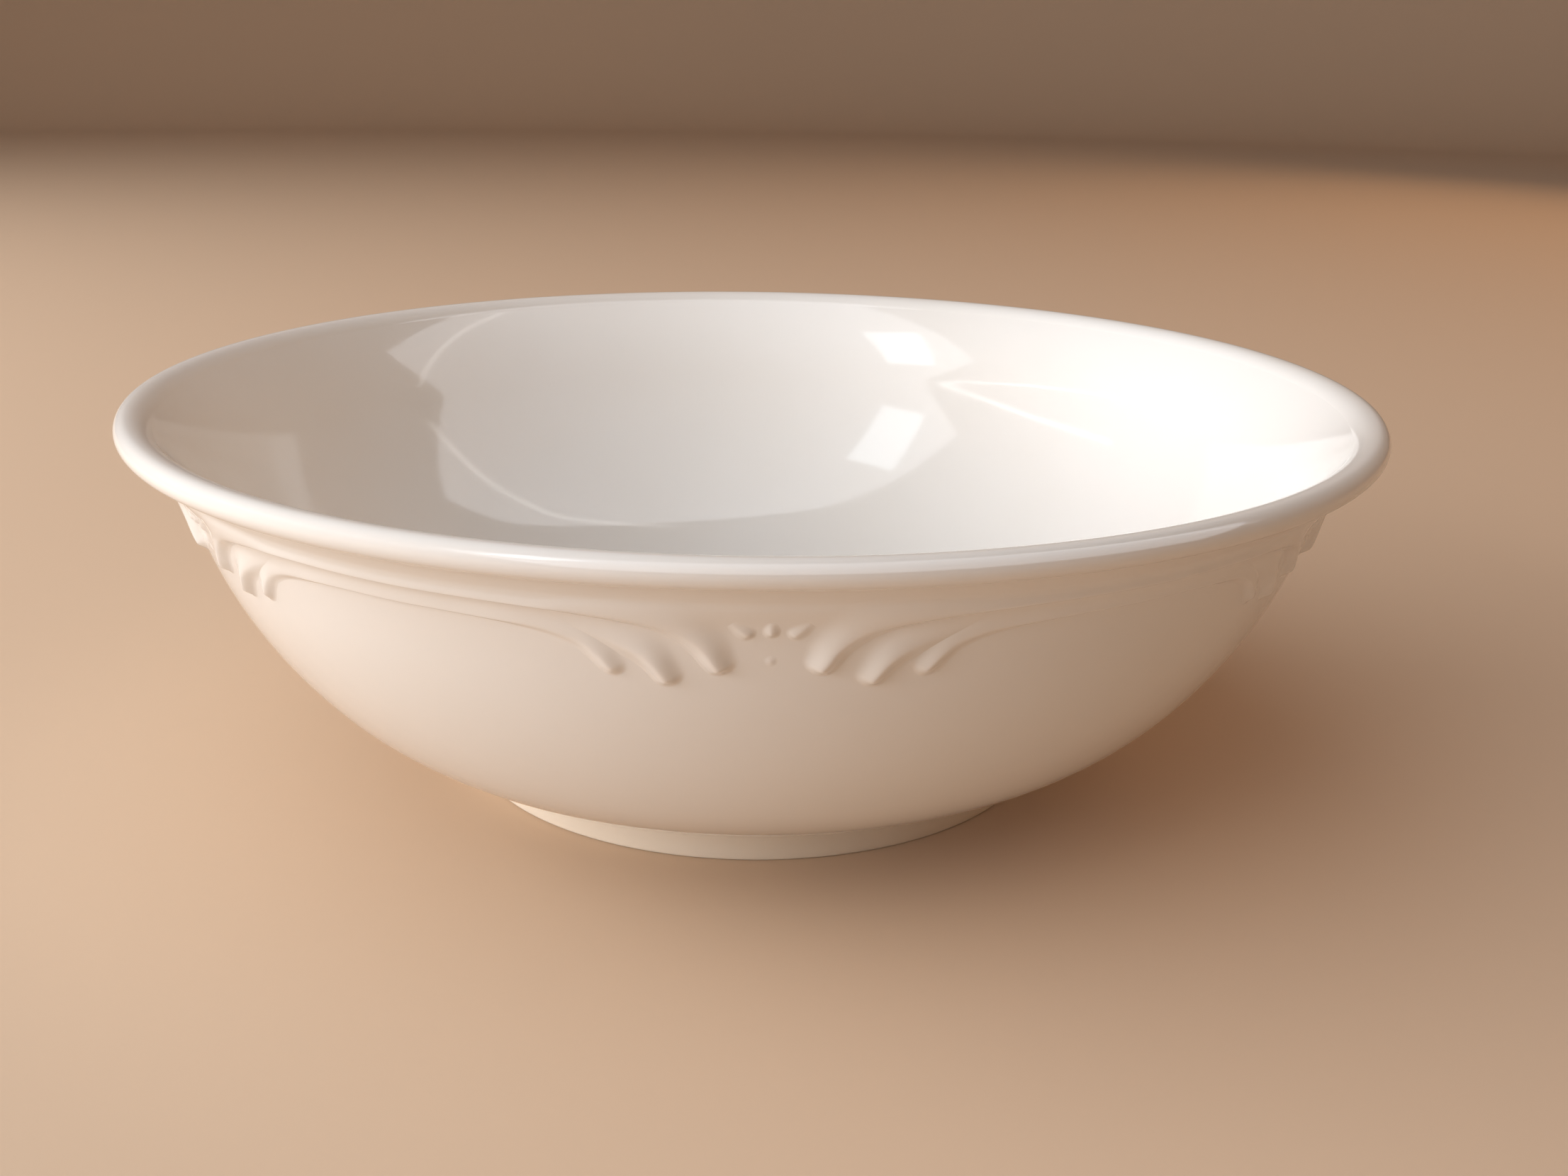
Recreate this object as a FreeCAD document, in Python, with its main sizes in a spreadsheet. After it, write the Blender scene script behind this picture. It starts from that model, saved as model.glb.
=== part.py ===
import FreeCAD, Part
import math
import os
import Sketcher
from FreeCAD import Placement, Rotation, Vector

# A porcelain serving bowl, millimetres, +Z up, origin at the middle of the face that it stands on.
# Turned pieces are half sections in the XZ plane revolved about Z. Six equal motifs stand round the rim,
# the first one facing -Y, so the X axis points midway between two of them.

DIMENSIONS = {
    # overall
    "rim_radius": 114.0,
    "bowl_height": 72.0,
    # foot ring, which closes in a shallow recess
    "foot_height": 5.0,
    "foot_radius": 55.6,
    "foot_top_radius": 56.0,
    "foot_inner_radius": 50.6,
    "foot_inner_top_radius": 49.4,
    "foot_edge_radius": 0.8,
    # flat floor inside the bowl
    "floor_radius": 46.0,
    "floor_level": 10.0,
    # outer face of the wall, from the foot up: fillet, lower curve, upper curve, straight, flare
    "foot_fillet_radius": 2.8,
    "lower_curve_radius": 54.8,
    "lower_curve_centre": 44.5,
    "lower_curve_centre_level": 60.4,
    "upper_curve_radius": 78.0,
    "upper_curve_level": 22.9,
    "wall_slope": 71.0,
    "flare_radius": 30.0,
    # inner face of the wall, from the floor up
    "inner_lower_radius": 49.3,
    "inner_upper_radius": 78.0,
    "inner_upper_level": 25.5,
    "inner_flare_radius": 50.0,
    # rolled rim
    "roll_radius": 2.2,
    "lip_radius": 4.8,
    "lip_slope": 57.0,
    # two ribs below the rim, which run between the motifs
    "motif_count": 6,
    "upper_rib_top": 63.8,
    "rib_line": 61.8,
    "lower_rib_bottom": 58.6,
    "upper_rib_curve": 1.2,
    "lower_rib_curve": 2.2,
    "upper_rib_gap": 14.0,
    "lower_rib_gap": 18.0,
    # bead on each motif's axis
    "bead_radius": 0.7,
    "bead_level": 54.5,
    # how deep the middle of a round section lies under the wall's face, as a part of its radius
    "plume_sink": 0.25,
    "bead_sink": 0.4,
}

# A plume or a petal is a round section that follows a cubic curve, from the end that fades out to its tip.
# The curve's four points are (degrees from the motif's axis, level), and the radii are the section's at even
# steps along the curve.
PLUMES = {
    "inner_plume": ([(14.0, 62.8), (9.0, 62.6), (5.0, 60.1), (3.3, 53.8)], [1.1, 1.7, 2.0, 1.9]),
    "middle_plume": ([(18.0, 61.0), (13.0, 59.8), (8.3, 56.6), (7.2, 51.4)], [0.8, 1.3, 1.7, 1.8]),
    "outer_plume": ([(18.0, 59.5), (15.0, 58.8), (12.2, 56.1), (11.7, 52.7)], [0.8, 1.2, 1.5, 1.6]),
    "side_petal": ([(3.0, 61.2), (2.6, 60.2), (2.1, 59.3), (1.7, 58.6)], [0.7, 0.9, 1.1, 1.2]),
    "middle_petal": ([(0.0, 61.4), (0.0, 60.6), (0.0, 59.6), (0.0, 58.8)], [0.7, 0.9, 1.1, 1.2]),
}
PLUME_CELLS = {"angle": "%s_angle_%d", "level": "%s_level_%d", "radius": "%s_radius_%d"}

# The pieces made of plumes: what stands on each motif, and on which side of its axis
RIGHT, LEFT = 1, -1
PLUME_PIECES = {
    "inner_plumes": [("inner_plume", RIGHT), ("inner_plume", LEFT)],
    "middle_plumes": [("middle_plume", RIGHT), ("middle_plume", LEFT)],
    "outer_plumes": [("outer_plume", RIGHT), ("outer_plume", LEFT)],
    "crest_petals": [("side_petal", RIGHT), ("middle_petal", RIGHT), ("side_petal", LEFT)],
}

FIRST_MOTIF = -90.0
FULL_TURN = 360.0
START, END, CENTRE = 1, 2, 3
ORIGIN = (-1, 1)
FOOT_EDGE_SEARCH_LEVEL = 1.0
PARTS_FOLDER = "parts"

document = FreeCAD.newDocument("ServingBowl")


def plume_dimensions():
    cells = {}
    for plume, (ridge, radii) in PLUMES.items():
        for index, (angle, level) in enumerate(ridge):
            cells[PLUME_CELLS["angle"] % (plume, index)] = angle
            cells[PLUME_CELLS["level"] % (plume, index)] = level
        for index, radius in enumerate(radii):
            cells[PLUME_CELLS["radius"] % (plume, index)] = radius
    return cells


def make_sheet():
    sheet = document.addObject("Spreadsheet::Sheet", "Sizes")
    rows = {**DIMENSIONS, **plume_dimensions()}
    for row, (alias, number) in enumerate(rows.items(), start=1):
        sheet.set("A%d" % row, alias.replace("_", " "))
        sheet.set("B%d" % row, str(number))
        sheet.setAlias("B%d" % row, alias)
    document.recompute()
    return sheet


sheet = make_sheet()


def size(alias):
    return float(sheet.get(alias))


def expression(formula):
    """A formula whose {alias} names stand for the sheet's cells."""
    return formula.replace("{", "Sizes.").replace("}", "")


# Curves of the wall ------------------------------------------------------------------------------

def direction(degrees):
    return Vector(math.cos(math.radians(degrees)), math.sin(math.radians(degrees)), 0)


def wall_curve(centre, radius, upper_radius, upper_level, flare_radius, end):
    """Centres and joints of one face of the wall: lower arc, upper arc, straight run and flare.

    The arcs and the straight run are tangent, and the flare ends at the given point. In every Vector of a
    half section, x is the distance from the axis and y is the level.
    """
    sine = (upper_level - centre.y) / radius
    lower_joint = centre + radius * Vector(math.sqrt(1 - sine ** 2), sine, 0)
    upper_centre = lower_joint + (centre - lower_joint) * (upper_radius / radius)
    uphill = direction(size("wall_slope"))
    outward = Vector(uphill.y, -uphill.x, 0)
    upper_joint = upper_centre + upper_radius * outward
    reach = end - upper_joint
    offset = reach.dot(outward)
    run = reach.dot(uphill) - math.sqrt(offset * (2 * flare_radius - offset))
    straight_end = upper_joint + run * uphill
    return {
        "lower centre": centre,
        "lower joint": lower_joint,
        "upper centre": upper_centre,
        "upper joint": upper_joint,
        "straight end": straight_end,
        "flare centre": straight_end + flare_radius * outward,
        "end": end,
    }


def roll_centre():
    return Vector(size("rim_radius") - size("roll_radius"), size("bowl_height") - size("roll_radius"), 0)


def lip_centre():
    return Vector(roll_centre().x, size("bowl_height") - size("lip_radius"), 0)


def outer_curve():
    end = roll_centre() - size("roll_radius") * direction(size("lip_slope"))
    centre = Vector(size("lower_curve_centre"), size("lower_curve_centre_level"), 0)
    return wall_curve(centre, size("lower_curve_radius"), size("upper_curve_radius"),
                      size("upper_curve_level"), size("flare_radius"), end)


def inner_curve():
    end = lip_centre() + size("lip_radius") * direction(size("lip_slope") + 90)
    centre = Vector(size("floor_radius"), size("floor_level") + size("inner_lower_radius"), 0)
    return wall_curve(centre, size("inner_lower_radius"), size("inner_upper_radius"),
                      size("inner_upper_level"), size("inner_flare_radius"), end)


def fillet_centre(curve):
    """Centre of the fillet that leaves the foot's top corner and touches the lower arc from outside."""
    corner = Vector(size("foot_top_radius"), size("foot_height"), 0)
    near = size("foot_fillet_radius")
    far = size("lower_curve_radius") + near
    gap = curve["lower centre"] - corner
    along = (near ** 2 - far ** 2 + gap.Length ** 2) / (2 * gap.Length)
    aside = math.sqrt(near ** 2 - along ** 2)
    unit = gap / gap.Length
    return corner + along * unit + aside * Vector(unit.y, -unit.x, 0)


def outer_point(level):
    """The point at a level on the straight run or the flare of the wall's outer face, and the direction
    outward from the face there."""
    curve = outer_curve()
    joint = curve["straight end"]
    if level < joint.y:
        uphill = direction(size("wall_slope"))
        return joint + (level - joint.y) / uphill.y * uphill, Vector(uphill.y, -uphill.x, 0)
    centre = curve["flare centre"]
    radius = size("flare_radius")
    point = Vector(centre.x - math.sqrt(radius ** 2 - (level - centre.y) ** 2), level, 0)
    return point, (centre - point) / radius


# Sketches ----------------------------------------------------------------------------------------

class HalfSection:
    """A sketch in a body's XZ plane, with dimensions that follow the sheet."""

    def __init__(self, body, name):
        self.sketch = body.newObject("Sketcher::SketchObject", name)
        plane = next(item for item in body.Origin.OriginFeatures if item.Role == "XZ_Plane")
        self.sketch.AttachmentSupport = [(plane, "")]
        self.sketch.MapMode = "FlatFace"

    def line(self, start, end):
        return self.sketch.addGeometry(Part.LineSegment(start, end), False)

    def arc(self, centre, start, end):
        """The arc that runs anticlockwise from start to end."""
        radius = (start - centre).Length
        angles = [math.atan2(point.y - centre.y, point.x - centre.x) for point in (start, end)]
        circle = Part.Circle(centre, Vector(0, 0, 1), radius)
        return self.sketch.addGeometry(Part.ArcOfCircle(circle, *angles), False)

    def join(self, first, first_point, second, second_point):
        self.sketch.addConstraint(
            Sketcher.Constraint("Coincident", first, first_point, second, second_point))

    def blend(self, first, first_point, second, second_point):
        self.sketch.addConstraint(
            Sketcher.Constraint("Tangent", first, first_point, second, second_point))

    def level(self, line):
        self.sketch.addConstraint(Sketcher.Constraint("Horizontal", line))

    def upright(self, line):
        self.sketch.addConstraint(Sketcher.Constraint("Vertical", line))

    def bind(self, index, formula):
        self.sketch.setExpression("Constraints[%d]" % index, expression(formula))

    def radius(self, arc, formula):
        value = self.sketch.Geometry[arc].Radius
        self.bind(self.sketch.addConstraint(Sketcher.Constraint("Radius", arc, value)), formula)

    def slope(self, line, formula):
        value = math.radians(size("wall_slope"))
        self.bind(self.sketch.addConstraint(Sketcher.Constraint("Angle", line, value)), formula)

    def place(self, item, point, radius_formula=None, level_formula=None):
        """Fix a point's distance from the axis, its level, or both."""
        here = self.sketch.getPoint(item, point)
        if radius_formula:
            across = Sketcher.Constraint("DistanceX", *ORIGIN, item, point, here.x)
            self.bind(self.sketch.addConstraint(across), radius_formula)
        if level_formula:
            up = Sketcher.Constraint("DistanceY", *ORIGIN, item, point, here.y)
            self.bind(self.sketch.addConstraint(up), level_formula)

    def measure(self, item, point, name):
        """A reference dimension of a point, which other sketches' formulas may use."""
        here = self.sketch.getPoint(item, point)
        for kind, value, suffix in (("DistanceX", here.x, "_radius"), ("DistanceY", here.y, "_level")):
            index = self.sketch.addConstraint(Sketcher.Constraint(kind, *ORIGIN, item, point, value))
            self.sketch.setDriving(index, False)
            self.sketch.renameConstraint(index, name + suffix)

    def wall_face(self, curve, start, names, end_formulas):
        """Lower arc, upper arc, straight run and flare of one face of the wall, bottom to top."""
        lower = self.arc(curve["lower centre"], start, curve["lower joint"])
        upper = self.arc(curve["upper centre"], curve["lower joint"], curve["upper joint"])
        straight = self.line(curve["upper joint"], curve["straight end"])
        flare = self.arc(curve["flare centre"], curve["end"], curve["straight end"])
        self.blend(lower, END, upper, START)
        self.blend(upper, END, straight, START)
        self.blend(straight, END, flare, END)
        self.radius(lower, names["lower"])
        self.radius(upper, names["upper"])
        self.radius(flare, names["flare"])
        self.place(lower, CENTRE, names["centre"], names["centre level"])
        self.place(lower, END, None, names["level"])
        self.slope(straight, "{wall_slope}")
        self.place(flare, START, *end_formulas)
        return lower, flare


# Pieces ------------------------------------------------------------------------------------------

def new_body(label):
    body = document.addObject("PartDesign::Body", label)
    body.Label = label
    return body


def revolve(body, section, formula=None):
    """Revolve a half section about Z, right round or through an angle with the section in its middle."""
    document.recompute()
    turn = body.newObject("PartDesign::Revolution", body.Name + "_turn")
    turn.Profile = section.sketch
    turn.ReferenceAxis = (section.sketch, ["V_Axis"])
    turn.Angle = FULL_TURN
    if formula:
        turn.Midplane = True
        turn.setExpression("Angle", expression(formula))
    document.recompute()
    return turn


def make_floor():
    """The flat disc in the middle of the bowl, above the recess."""
    disc = document.addObject("Part::Cylinder", "bowl_floor")
    disc.Label = "bowl_floor"
    disc.setExpression("Radius", expression("{floor_radius}"))
    disc.setExpression("Height", expression("{floor_level} - {foot_height}"))
    disc.setExpression("Placement.Base.z", expression("{foot_height}"))
    return disc


def make_foot():
    """A tapered ring with both edges of its standing face rounded."""
    body = new_body("foot_ring")
    section = HalfSection(body, "foot_section")
    top = size("foot_height")
    corners = [Vector(size("foot_inner_radius"), 0, 0), Vector(size("foot_radius"), 0, 0),
               Vector(size("foot_top_radius"), top, 0), Vector(size("foot_inner_top_radius"), top, 0)]
    sides = [section.line(corner, corners[(index + 1) % 4]) for index, corner in enumerate(corners)]
    for index, side in enumerate(sides):
        section.join(side, END, sides[(index + 1) % 4], START)
    base, outside, roof, inside = sides
    section.level(base)
    section.level(roof)
    section.place(base, START, "{foot_inner_radius}")
    section.sketch.addConstraint(Sketcher.Constraint("PointOnObject", base, START, ORIGIN[0]))
    section.place(outside, START, "{foot_radius}")
    section.place(roof, START, "{foot_top_radius}", "{foot_height}")
    section.place(inside, START, "{foot_inner_top_radius}")
    turn = revolve(body, section)
    edges = ["Edge%d" % number for number, edge in enumerate(turn.Shape.Edges, start=1)
             if edge.BoundBox.ZMax < FOOT_EDGE_SEARCH_LEVEL]
    rounding = body.newObject("PartDesign::Fillet", "foot_edges")
    rounding.Base = (turn, edges)
    rounding.setExpression("Radius", expression("{foot_edge_radius}"))
    return body


def make_wall():
    """The thin wall from the floor's edge and the foot up to the rolled rim."""
    body = new_body("bowl_wall")
    section = HalfSection(body, "wall_section")
    outer, inner = outer_curve(), inner_curve()
    hub = fillet_centre(outer)
    towards = outer["lower centre"] - hub
    touch = hub + towards * (size("foot_fillet_radius") / towards.Length)
    foot_corner = Vector(size("foot_top_radius"), size("foot_height"), 0)
    floor_edge = Vector(size("floor_radius"), size("floor_level"), 0)
    floor_corner = Vector(size("floor_radius"), size("foot_height"), 0)

    fillet = section.arc(hub, touch, foot_corner)
    lip = "{rim_radius} - {roll_radius}"
    outer_names = {"lower": "{lower_curve_radius}", "upper": "{upper_curve_radius}",
                   "flare": "{flare_radius}", "centre": "{lower_curve_centre}",
                   "centre level": "{lower_curve_centre_level}", "level": "{upper_curve_level}"}
    outer_end = (lip + " - {roll_radius} * cos({lip_slope} * 1deg)",
                 "{bowl_height} - {roll_radius} - {roll_radius} * sin({lip_slope} * 1deg)")
    outer_low, outer_top = section.wall_face(outer, touch, outer_names, outer_end)
    inner_names = {"lower": "{inner_lower_radius}", "upper": "{inner_upper_radius}",
                   "flare": "{inner_flare_radius}", "centre": "{floor_radius}",
                   "centre level": "{floor_level} + {inner_lower_radius}", "level": "{inner_upper_level}"}
    inner_end = (lip + " - {lip_radius} * sin({lip_slope} * 1deg)",
                 "{bowl_height} - {lip_radius} + {lip_radius} * cos({lip_slope} * 1deg)")
    inner_low, inner_top = section.wall_face(inner, floor_edge, inner_names, inner_end)
    cap = section.line(outer["end"], inner["end"])
    side = section.line(floor_edge, floor_corner)
    base = section.line(floor_corner, foot_corner)

    section.blend(fillet, START, outer_low, START)
    section.radius(fillet, "{foot_fillet_radius}")
    section.place(fillet, END, "{foot_top_radius}", "{foot_height}")
    section.join(outer_top, START, cap, START)
    section.join(cap, END, inner_top, START)
    section.join(inner_low, START, side, START)
    section.join(side, END, base, START)
    section.join(base, END, fillet, END)
    section.upright(side)
    section.level(base)
    section.place(side, START, "{floor_radius}")
    section.measure(outer_top, CENTRE, "flare_centre")
    revolve(body, section)
    return body


def make_rim():
    """The roll that stands proud outside, and the wider curve that falls from its top to the inner face."""
    body = new_body("rolled_rim")
    section = HalfSection(body, "rim_section")
    top = Vector(roll_centre().x, size("bowl_height"), 0)
    under = outer_curve()["end"]
    inside = inner_curve()["end"]
    roll = section.arc(roll_centre(), under, top)
    lip = section.arc(lip_centre(), top, inside)
    seam = section.line(inside, under)
    section.blend(roll, END, lip, START)
    section.join(lip, END, seam, START)
    section.join(seam, END, roll, START)
    section.radius(roll, "{roll_radius}")
    section.radius(lip, "{lip_radius}")
    section.place(roll, CENTRE, "{rim_radius} - {roll_radius}", "{bowl_height} - {roll_radius}")
    section.place(roll, END, "{rim_radius} - {roll_radius}")
    section.place(roll, START, "{rim_radius} - {roll_radius} - {roll_radius} * cos({lip_slope} * 1deg)")
    section.place(lip, END, "{rim_radius} - {roll_radius} - {lip_radius} * sin({lip_slope} * 1deg)")
    revolve(body, section)
    return body


def face_radius_formula(level):
    """The expression for the outer face's distance from the axis at a level on the flare, from the flare's
    centre in the wall's sketch."""
    centre = "wall_section.Constraints.flare_centre"
    return "%s_radius / 1mm - sqrt({flare_radius}^2 - (%s - %s_level / 1mm)^2)" % (centre, level, centre)


def make_rib(label, top, bottom, curve, gap):
    """Six spans of a rounded band on the wall, with a gap of the given half angle at each motif."""
    body = new_body(label)
    section = HalfSection(body, label + "_section")
    ends = [outer_point(size(alias))[0] for alias in (bottom, top)]
    chord = ends[1] - ends[0]
    outward = Vector(chord.y, -chord.x, 0) / chord.Length
    depth = math.sqrt(size(curve) ** 2 - (chord.Length / 2) ** 2)
    bulge = section.arc((ends[0] + ends[1]) / 2 - depth * outward, *ends)
    back = section.line(ends[1], ends[0])
    section.join(bulge, END, back, START)
    section.join(back, END, bulge, START)
    section.radius(bulge, "{%s}" % curve)
    for point, alias in ((START, bottom), (END, top)):
        level = "{%s}" % alias
        section.place(bulge, point, face_radius_formula(level), level)
    span = revolve(body, section, "360 / {motif_count} - 2 * {%s}" % gap)
    pattern = body.newObject("PartDesign::PolarPattern", label + "_spans")
    pattern.Originals = [span]
    pattern.Axis = (section.sketch, ["V_Axis"])
    pattern.Angle = FULL_TURN
    pattern.setExpression("Occurrences", expression("{motif_count}"))
    body.Tip = pattern
    return body


# Relief of the motifs ----------------------------------------------------------------------------

def motif_angles():
    return [FIRST_MOTIF + FULL_TURN * number / size("motif_count") for number in range(int(size("motif_count")))]


def on_face(angle, level, sink=0.0):
    """The point at an angle about Z and a level on the wall's outer face, or that far below the face,
    and the direction outward from the face there."""
    point, out = outer_point(level)
    ray = direction(angle)

    def lift(flat):
        return Vector(ray.x * flat.x, ray.y * flat.x, flat.y)

    return lift(point - sink * out), lift(out)


def curve_point(ridge, step):
    """A point of the cubic Bezier curve through four (angle, level) points, step from 0 to 1."""
    weights = [(1 - step) ** 3, 3 * step * (1 - step) ** 2, 3 * step ** 2 * (1 - step), step ** 3]
    return [sum(weight * point[axis] for weight, point in zip(weights, ridge)) for axis in (0, 1)]


def plume_solid(plume, motif_angle, side, wall):
    """One plume on the side of its motif given by side, trimmed to stand on the wall's face."""
    ridge, radii = PLUMES[plume]
    ridge = [(size(PLUME_CELLS["angle"] % (plume, index)), size(PLUME_CELLS["level"] % (plume, index)))
             for index in range(len(ridge))]
    radii = [size(PLUME_CELLS["radius"] % (plume, index)) for index in range(len(radii))]
    centres = []
    normals = []
    for index, radius in enumerate(radii):
        offset, level = curve_point(ridge, index / (len(radii) - 1))
        centre, outward = on_face(motif_angle + side * offset, level, radius * size("plume_sink"))
        centres.append(centre)
        normals.append(outward)
    rings = []
    for index, radius in enumerate(radii):
        ahead = centres[min(index + 1, len(centres) - 1)] - centres[max(index - 1, 0)]
        turn = Rotation(normals[index], Vector(), ahead, "ZXY")
        ring = Part.Wire(Part.Circle(Vector(), Vector(0, 0, 1), radius).toShape())
        ring.Placement = Placement(centres[index], turn)
        rings.append(ring)
    tip = Part.makeSphere(radii[-1], centres[-1], centres[-1] - centres[-2], 0, 90, FULL_TURN)
    return Part.makeLoft(rings, True).fuse(tip).cut(wall)


def make_plumes(piece, wall):
    """A piece's plumes at every motif, as separate solids."""
    feature = document.addObject("Part::Feature", piece)
    feature.Label = piece
    feature.Shape = Part.makeCompound([plume_solid(plume, angle, side, wall)
                                       for angle in motif_angles() for plume, side in PLUME_PIECES[piece]])
    return feature


def make_beads(wall_body):
    """A small bead under each group of petals, less the wall, so that it stands on the wall's face."""
    cuts = []
    for motif, angle in enumerate(motif_angles()):
        bead = document.addObject("Part::Sphere", "bead_%d" % motif)
        bead.setExpression("Radius", expression("{bead_radius}"))
        centre, outward = on_face(angle, size("bead_level"), size("bead_radius") * size("bead_sink"))
        bead.Placement = Placement(centre, Rotation(Vector(0, 0, 1), outward))
        cut = document.addObject("Part::Cut", "bead_%d_on_wall" % motif)
        cut.Base = bead
        cut.Tool = wall_body
        cuts.append(cut)
    group = document.addObject("Part::Compound", "crest_beads")
    group.Label = "crest_beads"
    group.Links = cuts
    return group


# Build, check and write --------------------------------------------------------------------------

def build():
    wall = make_wall()
    pieces = [make_floor(), wall, make_rim(), make_foot()]
    pieces.append(make_rib("upper_rib", "upper_rib_top", "rib_line", "upper_rib_curve", "upper_rib_gap"))
    pieces.append(make_rib("lower_rib", "rib_line", "lower_rib_bottom", "lower_rib_curve", "lower_rib_gap"))
    pieces += [make_plumes(piece, wall.Shape) for piece in PLUME_PIECES]
    pieces.append(make_beads(wall))
    document.recompute()
    return pieces


def check(pieces):
    for item in document.Objects:
        if "Invalid" in item.State or "Error" in item.State:
            raise RuntimeError("%s could not be built" % item.Label)
    for piece in pieces:
        if piece.Shape.isNull() or not piece.Shape.isValid():
            raise RuntimeError("%s has no valid shape" % piece.Label)


def write(pieces):
    os.makedirs(PARTS_FOLDER, exist_ok=True)
    for piece in pieces:
        piece.Shape.exportStep(os.path.join(PARTS_FOLDER, piece.Label + ".step"))
        print("%-14s %3d solids %10.1f mm3" % (piece.Label, len(piece.Shape.Solids), piece.Shape.Volume))


pieces = build()
check(pieces)
write(pieces)
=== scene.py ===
import bpy
import math
import numpy as np
from mathutils import Matrix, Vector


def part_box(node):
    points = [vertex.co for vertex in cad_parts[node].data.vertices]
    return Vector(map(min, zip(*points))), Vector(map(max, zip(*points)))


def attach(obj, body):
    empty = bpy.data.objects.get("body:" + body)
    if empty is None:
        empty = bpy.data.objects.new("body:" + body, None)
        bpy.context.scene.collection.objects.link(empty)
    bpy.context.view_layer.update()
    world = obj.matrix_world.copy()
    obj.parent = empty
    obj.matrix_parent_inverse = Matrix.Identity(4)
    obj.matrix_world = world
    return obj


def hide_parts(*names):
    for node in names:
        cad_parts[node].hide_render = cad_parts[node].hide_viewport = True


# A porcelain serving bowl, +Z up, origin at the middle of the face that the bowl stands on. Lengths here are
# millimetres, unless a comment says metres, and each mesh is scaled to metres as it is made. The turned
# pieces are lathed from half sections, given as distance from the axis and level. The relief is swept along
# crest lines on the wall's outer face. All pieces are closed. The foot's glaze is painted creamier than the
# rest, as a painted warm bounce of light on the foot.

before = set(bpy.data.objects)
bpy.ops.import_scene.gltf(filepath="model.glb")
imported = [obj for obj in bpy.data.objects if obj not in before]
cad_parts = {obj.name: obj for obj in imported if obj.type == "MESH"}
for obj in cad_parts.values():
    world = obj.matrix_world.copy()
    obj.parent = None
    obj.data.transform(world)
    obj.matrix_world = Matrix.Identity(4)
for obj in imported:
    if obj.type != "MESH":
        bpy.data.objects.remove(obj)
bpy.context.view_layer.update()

METRES = 0.001
FULL_TURN = 360.0
COLUMNS = 384

# Half section of the bowl, repeated from the CAD model where its boxes can't say it. Two sizes are not from
# there: the foot's lower edges are rounded less, and the recess under the floor has a fillet.
FOOT_FILLET_RADIUS = 2.8
LOWER_CURVE_RADIUS = 54.8
LOWER_CURVE_CENTRE = np.array([44.5, 60.4])
UPPER_CURVE_RADIUS = 78.0
UPPER_CURVE_LEVEL = 22.9
WALL_SLOPE = 71.0
FLARE_RADIUS = 30.0
INNER_LOWER_RADIUS = 49.3
INNER_UPPER_RADIUS = 78.0
INNER_UPPER_LEVEL = 25.5
INNER_FLARE_RADIUS = 50.0
ROLL_RADIUS = 2.2
LIP_RADIUS = 4.8
LIP_SLOPE = 57.0
FOOT_RADIUS = 55.6
FOOT_INNER_RADIUS = 50.6
FOOT_EDGE_RADIUS = 0.45
FOOT_INNER_TOP_RADIUS = 49.4
RECESS_FILLET_RADIUS = 1.6

# Sizes that the frame gives
FLOOR_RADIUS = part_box("bowl_floor")[1].x / METRES
FLOOR_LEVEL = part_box("bowl_floor")[1].z / METRES
FOOT_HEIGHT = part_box("foot_ring")[1].z / METRES
FOOT_TOP_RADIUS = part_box("foot_ring")[1].x / METRES
RIM_RADIUS = min(*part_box("rolled_rim")[1].xy, *-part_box("rolled_rim")[0].xy) / METRES
BOWL_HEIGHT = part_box("rolled_rim")[1].z / METRES

# The band under the rim swells and then falls into a cove under the roll
SWELL_HEIGHT = 0.28
SWELL_START = 59.0
SWELL_FULL = 62.5
COVE_START = 62.8
COVE_FULL = 64.4

# Relief of one motif, right half. A crest line is stations of (degrees from the motif's axis, level, width
# on the gentle side, width on the steep side, height). The gentle side faces up and towards the axis.
MOTIFS = 6
MOTIF_SPACING = FULL_TURN / MOTIFS
INNER_PLUME = [
    (14.0, 61.80, 3.0, 1.2, 0.50),
    (10.5, 61.25, 4.6, 1.8, 0.62),
    (8.0, 60.30, 5.6, 2.2, 0.74),
    (6.3, 58.85, 5.4, 2.4, 0.92),
    (5.0, 56.80, 4.4, 2.4, 1.16),
    (4.3, 54.80, 3.5, 2.3, 1.32),
    (3.95, 53.80, 3.1, 2.2, 1.30),
]
MIDDLE_PLUME = [
    (17.5, 60.30, 1.8, 0.9, 0.02),
    (15.2, 59.20, 3.0, 1.6, 0.14),
    (13.1, 58.05, 4.4, 2.1, 0.34),
    (11.4, 56.95, 4.8, 2.3, 0.60),
    (9.95, 55.75, 4.6, 2.4, 0.90),
    (8.95, 54.30, 3.9, 2.4, 1.16),
    (8.3, 52.70, 3.3, 2.3, 1.26),
    (7.95, 51.65, 3.0, 2.2, 1.20),
]
OUTER_PLUME = [
    (18.0, 58.50, 3.4, 1.2, 0.40),
    (16.0, 57.80, 3.8, 1.5, 0.42),
    (14.3, 56.60, 3.8, 1.8, 0.50),
    (13.15, 54.90, 3.2, 2.0, 0.72),
    (12.5, 53.50, 2.7, 2.0, 0.86),
    (12.2, 52.85, 2.5, 1.9, 0.86),
]
UPPER_RIB = [
    (30.0, 62.22, 1.5, 0.60, 0.40),
    (22.0, 62.22, 1.5, 0.60, 0.42),
    (17.0, 62.07, 1.7, 0.80, 0.53),
]
LOWER_RIB = [
    (30.0, 59.12, 2.8, 0.60, 0.44),
    (25.0, 59.12, 2.8, 0.60, 0.44),
    (21.0, 58.92, 2.9, 0.80, 0.50),
]
SIDE_PETAL = [
    (2.9, 60.70, 0.9, 0.9, 0.02),
    (2.55, 60.15, 1.3, 1.2, 0.20),
    (2.1, 59.50, 1.6, 1.5, 0.44),
    (1.8, 59.10, 1.6, 1.5, 0.52),
]
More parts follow.
